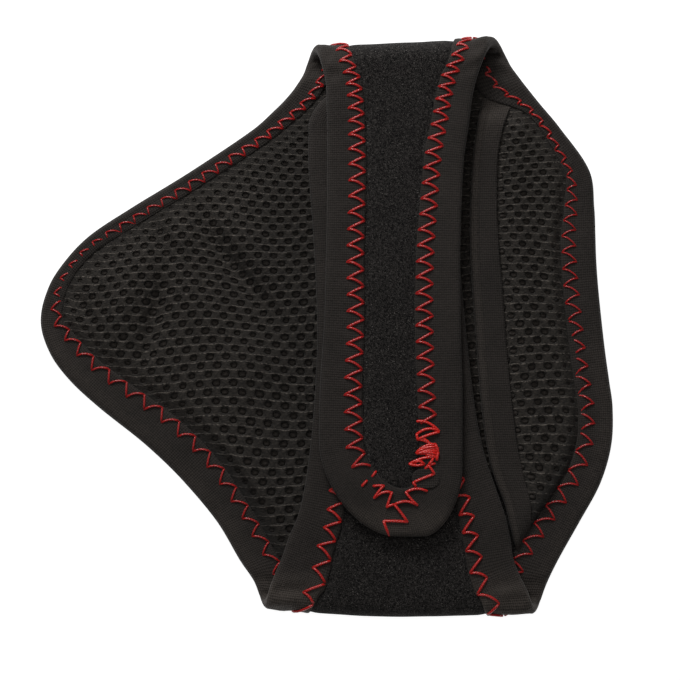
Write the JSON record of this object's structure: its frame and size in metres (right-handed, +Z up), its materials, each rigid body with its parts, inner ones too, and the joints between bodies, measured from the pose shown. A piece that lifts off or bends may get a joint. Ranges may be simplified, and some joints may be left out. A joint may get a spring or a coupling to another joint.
{
  "type": "neck brace",
  "caption": "Soft neck brace folded flat: a mesh-lined padded back with a pocket flap, and velvet closure straps folded over it, all edged with binding tape.",
  "frame": {"origin": "on the surface it lies on, under the middle of the folded brace", "axes": "+X to the right and +Y towards the top fold, seen from above; +Z up, out of the mesh side"},
  "size_m": [0.2123, 0.2148, 0.0164],
  "materials": {
    "loop_velvet": "matte brushed loop pile",
    "spacer_mesh": "knitted polyester spacer mesh, dull",
    "binding_tape": "fine ribbed stretch binding, dull sheen",
    "hook_nylon": "nylon hook tape",
    "red_thread": "twisted polyester thread, slight gloss"
  },
  "bodies": {
    "root": {"outer_panel": "loop_velvet", "mesh_main": "spacer_mesh", "mesh_flap": "spacer_mesh", "flap_binding": "binding_tape", "edge_binding": "binding_tape", "hook_patch": "hook_nylon"}
  },
  "joints": []
}
